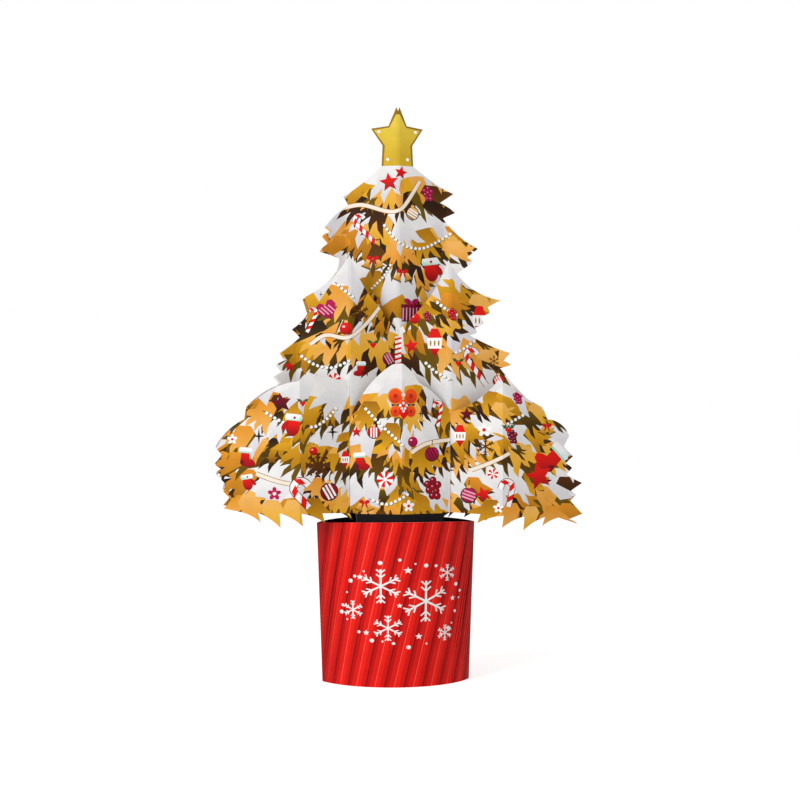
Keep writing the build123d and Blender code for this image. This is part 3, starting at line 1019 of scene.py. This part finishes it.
def card_surface(tree, shader, colour, scale, low, high):
    """The fine tooth of card, and its colour slightly lighter and darker in soft patches."""
    place = tree.nodes.new("ShaderNodeTexCoord").outputs["Object"]
    tooth = new_node(tree, "ShaderNodeTexNoise", {"Vector": place, **TOOTH})
    bump = new_node(tree, "ShaderNodeBump", {"Height": tooth.outputs["Fac"], **TOOTH_BUMP})
    tree.links.new(bump.outputs["Normal"], shader.inputs["Normal"])
    patches = new_node(tree, "ShaderNodeTexNoise", {"Vector": place, "Scale": scale, "Detail": PATCH_DETAIL})
    limits = {**PATCH_CONTRAST, "To Min": low, "To Max": high}
    spread = new_node(tree, "ShaderNodeMapRange", {"Value": patches.outputs["Fac"], **limits})
    blend = tree.nodes.new("ShaderNodeMix")
    blend.data_type = "RGBA"
    blend.blend_type = "MULTIPLY"
    blend.inputs["Factor"].default_value = 1.0
    tree.links.new(colour, blend.inputs["A"])
    tree.links.new(spread.outputs["Result"], blend.inputs["B"])
    tree.links.new(blend.outputs["Result"], shader.inputs["Base Color"])


def printed_card(name, roughness):
    """Card in the inks of its mesh."""
    made, tree, shader = material(name, roughness)
    ink = tree.nodes.new("ShaderNodeVertexColor")
    ink.layer_name = "ink"
    card_surface(tree, shader, ink.outputs["Color"], 140.0, 0.93, 1.04)
    return made


def plain_card(name, colour, roughness):
    """Card in one colour."""
    made, tree, shader = material(name, roughness)
    base = tree.nodes.new("ShaderNodeRGB")
    base.outputs[0].default_value = linear(colour)
    card_surface(tree, shader, base.outputs[0], 260.0, 0.88, 1.05)
    return made


CARD = printed_card("printed_card", 0.5)
CUT_EDGE = plain_card("cut_edge", CARD_BACK, 0.8)
POT_CARD = printed_card("pot_print", 0.48)
POT_INSIDE = plain_card("pot_inside", POT_DARK, 0.8)
FLOOR_CARD = plain_card("floor_card", FLOOR_INK, 0.85)

# The tree

# The ornaments on each sheet, and the seed of its leaves
SHEETS = {
    "high": (high_ornaments, 11),
    "middle_left": (middle_left_ornaments, 23),
    "middle_right": (middle_right_ornaments, 29),
    "low_left": (low_left_ornaments, 37),
    "low_centre": (low_centre_ornaments, 41),
    "low_right": (low_right_ornaments, 43),
}
BACK_SEED = 100
TRUNK_PRINT = [(-40, -30), (40, -30), (40, HEM - 0.4), (-40, HEM - 0.4)]


def build_tree():
    for place in ("front", "back"):
        for name, (ornaments, seed) in SHEETS.items():
            layer = name.split("_")[0]
            if place == "back":
                seed += BACK_SEED
            drawing = sheet_drawing(layer, seed)
            tops = Drawing()
            ornaments(tops)
            if layer == "middle":
                seam_candy_stripe(tops)
            if name == "high" and place == "front":
                star_print(tops)
            if name == "low_centre":
                tops.add(TRUNK_PRINT, TRUNK, base=True)
            printed_sheet(f"{place}_{name}", layer, drawing, tops, seed)


build_tree()

# The pot

high_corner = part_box("pot_sleeve")[1]
POT_HALF_WIDTH = high_corner.x / MM
POT_TOP = high_corner.z / MM
POT_CARD_THICKNESS = 0.5
FLAP_EDGE = 29.75  # where the seam flap ends, to the right of the middle
FLAP_FAR_FACE = POT_CARD_THICKNESS * 1.04  # just clear of the back's inside
RIB_PITCH = 8.6
RIB_SLANT = 18.0  # how far a rib leans to the right from the foot to above the rim
# Across one rib, as shares of the pitch: from, to and ink. The darker bands are painted shade and the pale
# band a painted highlight, so that each flat rib looks fluted
RIB_PAINTED_SHADE_BANDS = (
    (0.0, 0.09, mix(POT_RED, POT_DEEP, 0.85)),
    (0.09, 0.24, mix(POT_RED, POT_DEEP, 0.5)),
    (0.24, 0.5, mix(POT_RED, POT_DEEP, 0.15)),
    (0.5, 0.56, POT_PAINTED_HIGHLIGHT),
    (0.56, 0.78, POT_RED),
    (0.78, 1.0, mix(POT_RED, POT_DEEP, 0.3)),
)
# Painted shade on the pot's curving sides: its colour darkens from this share of its half width on, over the
# next share, by up to the last share
SIDE_PAINTED_SHADE_FROM, SIDE_PAINTED_SHADE_OVER, SIDE_PAINTED_SHADE = 0.72, 0.28, 0.55
DOTS = 26  # in the winter design's ring

# The corners of the sleeve's foot in the frame
foot = [v.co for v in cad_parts["pot_sleeve"].data.vertices if v.co.z < 1e-5]
FOOT_HALF_WIDTH = max(abs(corner.x) for corner in foot) / MM
FOOT_HALF_DEPTH = max(abs(corner.y) for corner in foot) / MM
ARC_CENTRE = (FOOT_HALF_WIDTH**2 - FOOT_HALF_DEPTH**2) / (2 * FOOT_HALF_DEPTH)
FOOT_RADIUS = FOOT_HALF_DEPTH + ARC_CENTRE
RIM_RADIUS = math.sqrt(POT_HALF_WIDTH**2 + ARC_CENTRE**2)
RIM_ARCH = POT_TOP - RIM


def cone_radius(height, inset):
    """Radius of the pot's front and back at a height, that far inside the outer face."""
    return FOOT_RADIUS + (RIM_RADIUS - FOOT_RADIUS) * height / RIM - inset


def pot_place(u, height, inset, side):
    """A place on the pot: u runs from -1 to 1 between the side folds, side is -1 for the front."""
    radius = cone_radius(height, inset)
    angle = u * math.acos(min(1.0, ARC_CENTRE / radius))
    depth = radius * math.cos(angle) - ARC_CENTRE
    return (radius * math.sin(angle) * MM, side * depth * MM, height * MM)


def pot_drawing(front):
    """Slanted ribs all round, with painted shade and a painted highlight across each, and a white winter
    design on the front.
    """
    d = Drawing()
    half, foot, top = POT_HALF_WIDTH + 3, -3, RIM + 4
    d.add([(-half, foot), (half, foot), (half, top), (-half, top)], POT_RED)
    for k in range(-8, 6):
        for start, end, ink in RIB_PAINTED_SHADE_BANDS:
            a, b = (k + start) * RIB_PITCH, (k + end) * RIB_PITCH
            d.add([(a, foot), (b, foot), (b + RIB_SLANT, top), (a + RIB_SLANT, top)], ink)
    if front:
        winter_design(d)
    return d


def winter_design(d):
    """Snowflakes, stars and a ring of dots, in white."""
    snowflakes = (
        (-9, 52, 8.6, 0.1),
        (10.5, 44, 10.4, 0.09),
        (-6, 30.5, 6.4, 0.11),
        (21, 58, 4.2, 0.13),
        (-21.5, 39.5, 4.6, 0.13),
        (20.5, 27, 4, 0.13),
    )
    for x, y, size, width in snowflakes:
        snowflake(d, x, y, size, WHITE, 6, width)
    left_stars = [(2.5, 60, 1.9), (-18, 56.5, 1.6), (-15.5, 28, 1.5)]
    right_stars = [(7.5, 26, 1.7), (24.5, 44.5, 1.5), (-1, 42, 1.3)]
    for x, y, size in left_stars + right_stars:
        star(d, x, y, size, WHITE, WHITE)
    for k in range(DOTS):
        a = math.radians(360 / DOTS * k)
        x, y = 1.0 + 27.5 * math.cos(a), 43.0 + 21.5 * math.sin(a)
        disc(d, x + 1.6 * math.sin(5 * a), y + 1.4 * math.cos(7 * a), 0.5 + 0.28 * (k % 3), WHITE, count=7)


def rim_height(u):
    """Height of the pot's rim at a share of its half width."""
    return RIM + RIM_ARCH * (1 - u**2)


class Builder:
    """Gathers vertices that lie in one place and faces with their inks."""

    def __init__(self):
        self.places, self.vertices, self.faces, self.inks, self.slots = {}, [], [], [], []

    def vertex(self, place):
        key = tuple(round(c * 1e6) for c in place)
        if key not in self.places:
            self.places[key] = len(self.vertices)
            self.vertices.append(place)
        return self.places[key]

    def face(self, corners, inks, slot):
        if len(set(corners)) == len(corners):
            self.faces.append(tuple(corners))
            self.inks.extend(inks)
            self.slots.append(slot)


def pot_surface(drawing, inset, side, outward, builder, slot):
    """One curved side of the pot's outside or inside, with what is printed on it."""
    half = POT_HALF_WIDTH
    steps, columns, rows = 48, 32, 20
    shares = [2 * k / steps - 1 for k in range(steps + 1)]
    outline = [(u * half, 0.0) for u in shares] + [(u * half, rim_height(u)) for u in reversed(shares)]
    across = [half * (2 * i / columns - 1) for i in range(1, columns)]
    spots = [(x, RIM * j / rows) for x in across for j in range(1, rows)]
    shapes = drawing.shapes if drawing else []
    verts, tris, x, y = cut_up([outline] + [shape[0] for shape in shapes], [], spots)
    top, _ = painted(shapes, x, y)

    def shaded_ink(k, v):
        if not shapes:
            return POT_DEEP
        ink = ink_at(shapes[top[k]], verts[v])
        if ink is WHITE:
            return ink
        # Painted shade: darker towards the pot's curving sides
        shade = max(0.0, abs(verts[v].x) / half - SIDE_PAINTED_SHADE_FROM) / SIDE_PAINTED_SHADE_OVER
        return mix(ink, POT_DEEP, SIDE_PAINTED_SHADE * shade)

    for k in np.flatnonzero(within(outline, x, y)):
        corners = [builder.vertex(pot_place(verts[v].x / half, verts[v].y, inset, side)) for v in tris[k]]
        inks = [shaded_ink(k, v) for v in tris[k]]
        step = 1 if outward else -1
        builder.face(corners[::step], inks[::step], slot)
    return [(x / half, y) for x, y in outline]


def seam_flap(builder):
    """The flap that closes the sleeve, glued inside the back up to its right-hand fold."""
    columns = 6
    near, far = 2 * POT_CARD_THICKNESS, FLAP_FAR_FACE

    def place(k, at_rim, inset):
        radius = cone_radius(rim_height(FLAP_EDGE / POT_HALF_WIDTH) * at_rim, inset)
        start = math.asin(FLAP_EDGE / radius) / math.acos(ARC_CENTRE / radius)
        u = start + (1 - start) * k / columns
        return builder.vertex(pot_place(u, rim_height(u) * at_rim, inset, 1))

    for k in range(columns):
        quads = [
            [(k, 0, near), (k + 1, 0, near), (k + 1, 1, near), (k, 1, near)],
            [(k, 1, far), (k + 1, 1, far), (k + 1, 0, far), (k, 0, far)],
            [(k, 1, near), (k + 1, 1, near), (k + 1, 1, far), (k, 1, far)],
            [(k, 0, far), (k + 1, 0, far), (k + 1, 0, near), (k, 0, near)],
        ]
        if k == 0:
            quads.append([(0, 0, near), (0, 1, near), (0, 1, far), (0, 0, far)])
        for quad in quads:
            builder.face([place(*corner) for corner in quad], [POT_DEEP] * 4, INSIDE)


def build_pot():
    builder = Builder()
    for side in (-1, 1):
        pot_surface(pot_drawing(side < 0), 0.0, side, side < 0, builder, PRINT)
        border = pot_surface(None, POT_CARD_THICKNESS, side, side > 0, builder, INSIDE)
        for start, end in zip(border, border[1:] + border[:1]):
            if abs(start[0]) == 1 and abs(end[0]) == 1:
                continue
            ring = ((start, 0.0), (end, 0.0), (end, POT_CARD_THICKNESS), (start, POT_CARD_THICKNESS))
            corners = [builder.vertex(pot_place(u, z, inset, side)) for (u, z), inset in ring]
            builder.face(corners[::side], [POT_RED] * 4, EDGE)
    seam_flap(builder)
    made = (builder.vertices, builder.faces, builder.inks, builder.slots)
    pot = add_piece("printed_pot", "pot", *made, (POT_CARD, CUT_EDGE, POT_INSIDE))
    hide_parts("pot_sleeve")
    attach(pot, "root")


build_pot()

pot_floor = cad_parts["pot_floor"]
pot_floor.data.materials.clear()
pot_floor.data.materials.append(FLOOR_CARD)

# Floor, light and camera

GROUND_HALF = 3.0
GROUND_GLOW = 0.55  # what the camera sees the ground give off, so that it meets the white behind
PLAIN_WHITE = (1.0, 1.0, 1.0, 1.0)
WORLD_STRENGTH = 0.5
# Name, place, size and power
LAMPS = (("key", (-1.0, -0.9, 0.7), 0.6, 11.0), ("fill", (1.0, -1.0, 0.5), 1.0, 1.5))
LAMP_AIM = Vector((0, 0, 0.15))


def build_floor():
    size = GROUND_HALF
    corners = [(-size, -size, 0), (size, -size, 0), (size, size, 0), (-size, size, 0)]
    mesh = bpy.data.meshes.new("ground")
    mesh.from_pydata(corners, [], [(0, 1, 2, 3)])
    ground = add_object("ground", mesh)
    made, tree, shader = material("ground_paper", 0.9)
    shader.inputs["Base Color"].default_value = (0.9, 0.9, 0.9, 1.0)
    glow = new_node(tree, "ShaderNodeEmission", {"Strength": GROUND_GLOW})
    both = new_node(tree, "ShaderNodeAddShader", {0: shader.outputs[0], 1: glow.outputs[0]})
    camera_ray = tree.nodes.new("ShaderNodeLightPath").outputs["Is Camera Ray"]
    choice = {"Fac": camera_ray, 1: shader.outputs[0], 2: both.outputs[0]}
    seen = new_node(tree, "ShaderNodeMixShader", choice)
    tree.links.new(seen.outputs[0], tree.nodes["Material Output"].inputs["Surface"])
    mesh.materials.append(made)


def greatest(tree, first, second):
    """The greater of two values."""
    node = new_node(tree, "ShaderNodeMath", {0: first, 1: second})
    node.operation = "MAXIMUM"
    return node.outputs[0]


def build_light():
    """A soft world that is white where it is seen, a key lamp and a weak fill."""
    world = bpy.data.worlds.new("studio")
    bpy.context.scene.world = world
    world.use_nodes = True
    tree = world.node_tree
    light = tree.nodes["Background"]
    light.inputs["Color"].default_value = PLAIN_WHITE
    light.inputs["Strength"].default_value = WORLD_STRENGTH
    seen = new_node(tree, "ShaderNodeBackground", {"Color": PLAIN_WHITE, "Strength": 1.0})
    rays = tree.nodes.new("ShaderNodeLightPath").outputs
    seen_ray = greatest(tree, rays["Is Camera Ray"], rays["Is Glossy Ray"])
    seen_ray = greatest(tree, seen_ray, rays["Is Transmission Ray"])
    choice = {"Fac": seen_ray, 1: light.outputs[0], 2: seen.outputs[0]}
    blend = new_node(tree, "ShaderNodeMixShader", choice)
    tree.links.new(blend.outputs[0], tree.nodes["World Output"].inputs["Surface"])
    for name, place, size, power in LAMPS:
        lamp = bpy.data.lights.new(name, "AREA")
        lamp.energy = power
        lamp.size = size
        holder = add_object(name, lamp)
        holder.location = place
        holder.rotation_euler = (LAMP_AIM - Vector(place)).to_track_quat("-Z", "Y").to_euler()


# The photograph's camera: straight ahead, 147 mm up, turned 7 degrees to the tree's left
CAMERA_DISTANCE = 0.868
CAMERA_TURN = 7.0
CAMERA_HEIGHT = 0.147
CAMERA_ASIDE = 0.0021
CAMERA_LENS = 74.3
CAMERA_SENSOR = 36.0


def build_camera():
    turn = math.radians(CAMERA_TURN)
    camera = bpy.data.cameras.new("camera")
    camera.lens = CAMERA_LENS
    camera.sensor_width = CAMERA_SENSOR
    holder = add_object("camera", camera)
    holder.location = (
        -CAMERA_DISTANCE * math.sin(turn) + CAMERA_ASIDE * math.cos(turn),
        -CAMERA_DISTANCE * math.cos(turn) - CAMERA_ASIDE * math.sin(turn),
        CAMERA_HEIGHT,
    )
    holder.rotation_euler = (math.radians(90), 0, -turn)
    bpy.context.scene.camera = holder


build_floor()
build_light()
build_camera()
bpy.context.scene.view_settings.view_transform = "Standard"
